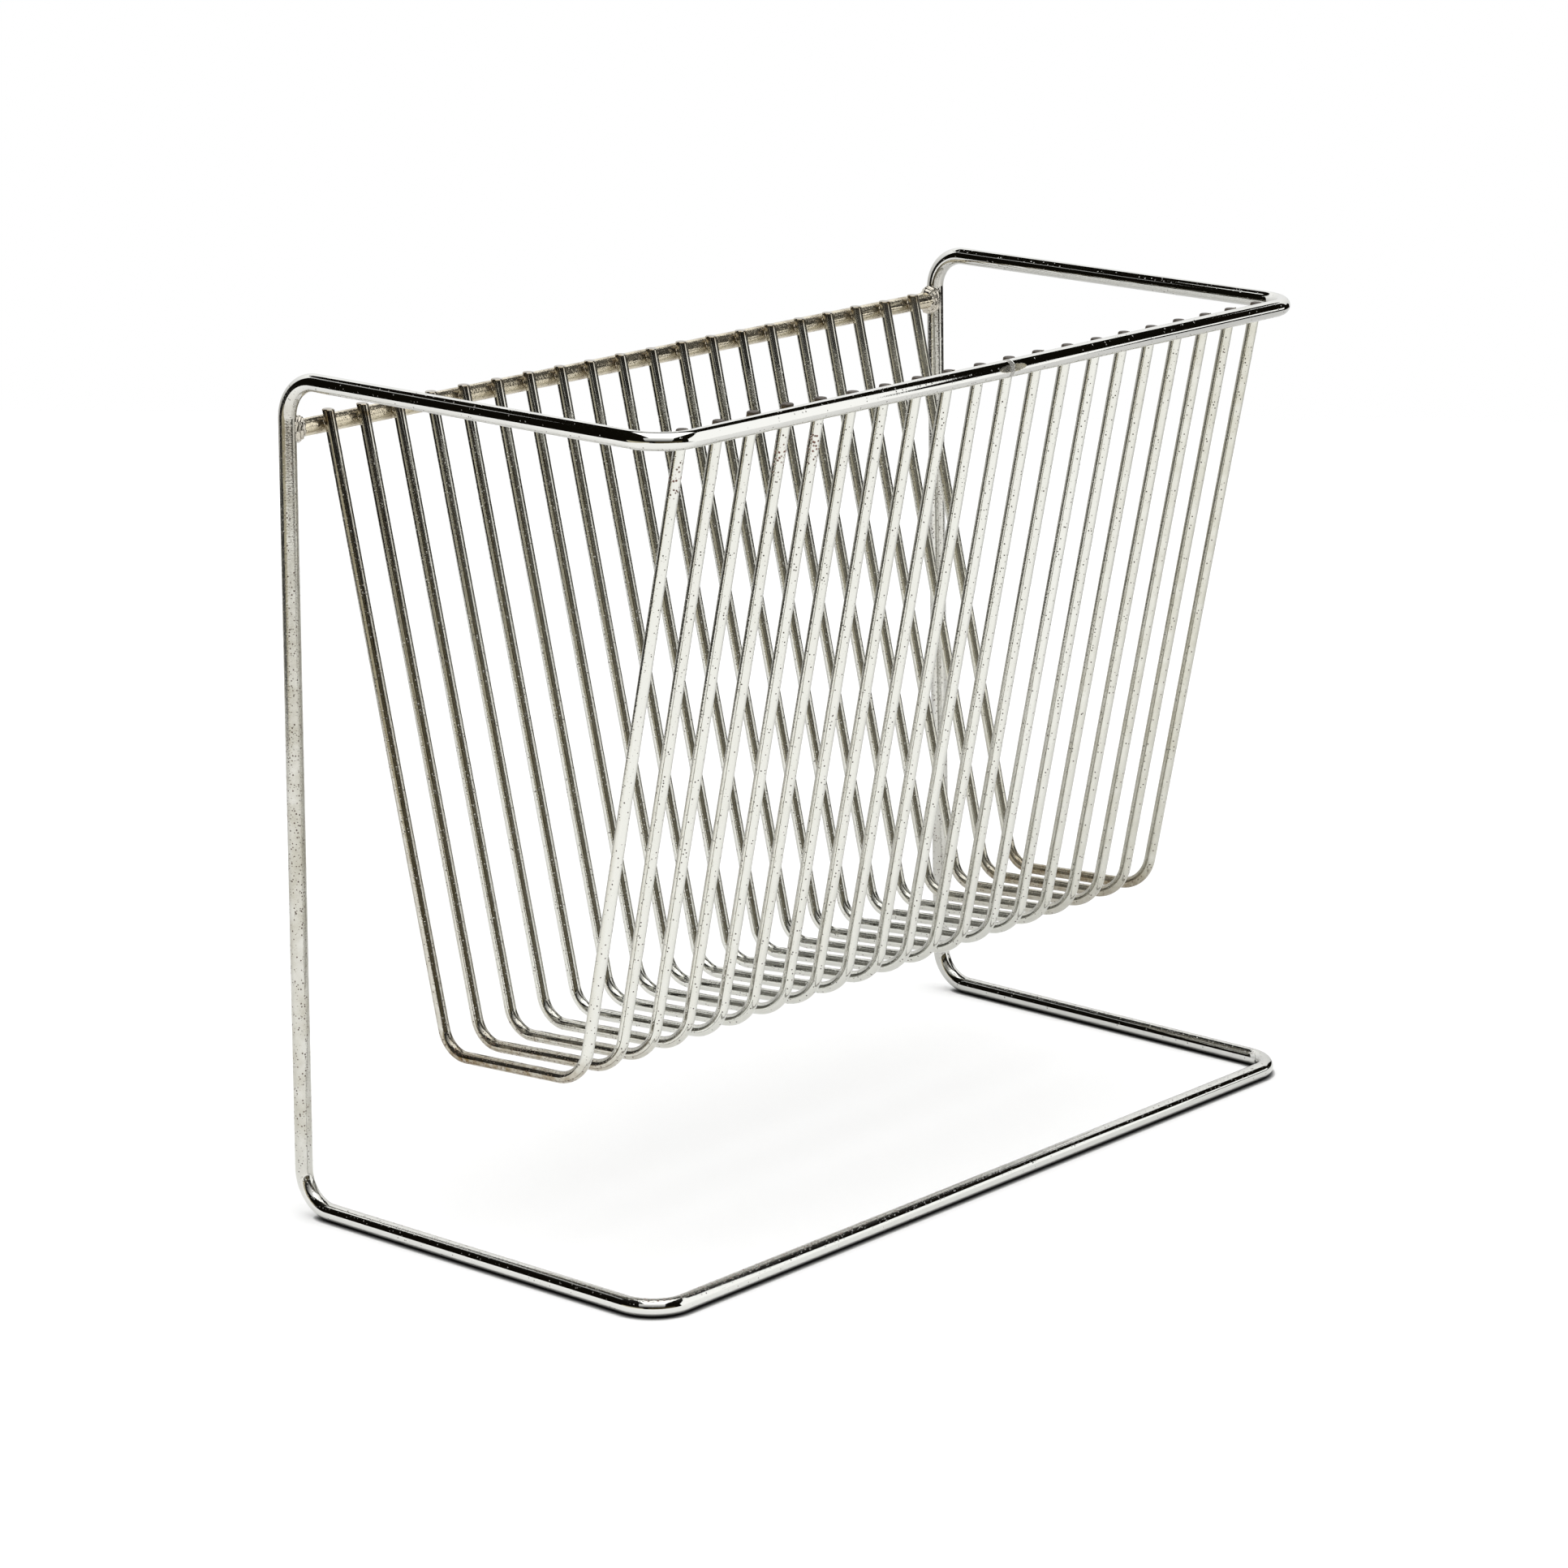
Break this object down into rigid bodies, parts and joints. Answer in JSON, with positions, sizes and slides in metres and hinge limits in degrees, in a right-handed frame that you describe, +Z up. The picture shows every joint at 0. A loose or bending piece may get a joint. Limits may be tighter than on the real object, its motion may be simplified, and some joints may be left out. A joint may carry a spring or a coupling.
{
  "type": "magazine rack",
  "caption": "Free-standing wire magazine rack: a bent chromed rod makes base, uprights and top, and a row of bent wires hangs from its rails as an open basket.",
  "frame": {"origin": "on the floor, under the middle of the rack's width and depth", "axes": "+X along the rails, to the right as seen from the front; +Y to the back rail; +Z up"},
  "size_m": [0.349, 0.1702, 0.286],
  "materials": {
    "chromed_rod": "bright chrome plating on steel rod, lightly scratched",
    "chromed_rail": "dulled chrome plating on steel rod",
    "chromed_wire": "pitted chrome plating on steel wire",
    "weld_bead": "plated weld metal with heat tint and a little rust",
    "filed_weld": "weld filed slightly hollow and plated over"
  },
  "bodies": {
    "root": {"frame_rod": "chromed_rod", "frame_butt_weld": "filed_weld", "back_rail": "chromed_rail", "back_rail_weld_left": "weld_bead", "back_rail_weld_right": "weld_bead", "back_wire_welds": "weld_bead", "front_wire_welds": "weld_bead", "basket_wire_01": "chromed_wire", "basket_wire_02": "chromed_wire", "basket_wire_03": "chromed_wire", "basket_wire_04": "chromed_wire", "basket_wire_05": "chromed_wire", "basket_wire_06": "chromed_wire", "basket_wire_07": "chromed_wire", "basket_wire_08": "chromed_wire", "basket_wire_09": "chromed_wire", "basket_wire_10": "chromed_wire", "basket_wire_11": "chromed_wire", "basket_wire_12": "chromed_wire", "basket_wire_13": "chromed_wire", "basket_wire_14": "chromed_wire", "basket_wire_15": "chromed_wire", "basket_wire_16": "chromed_wire", "basket_wire_17": "chromed_wire", "basket_wire_18": "chromed_wire", "basket_wire_19": "chromed_wire", "basket_wire_20": "chromed_wire"}
  },
  "joints": []
}
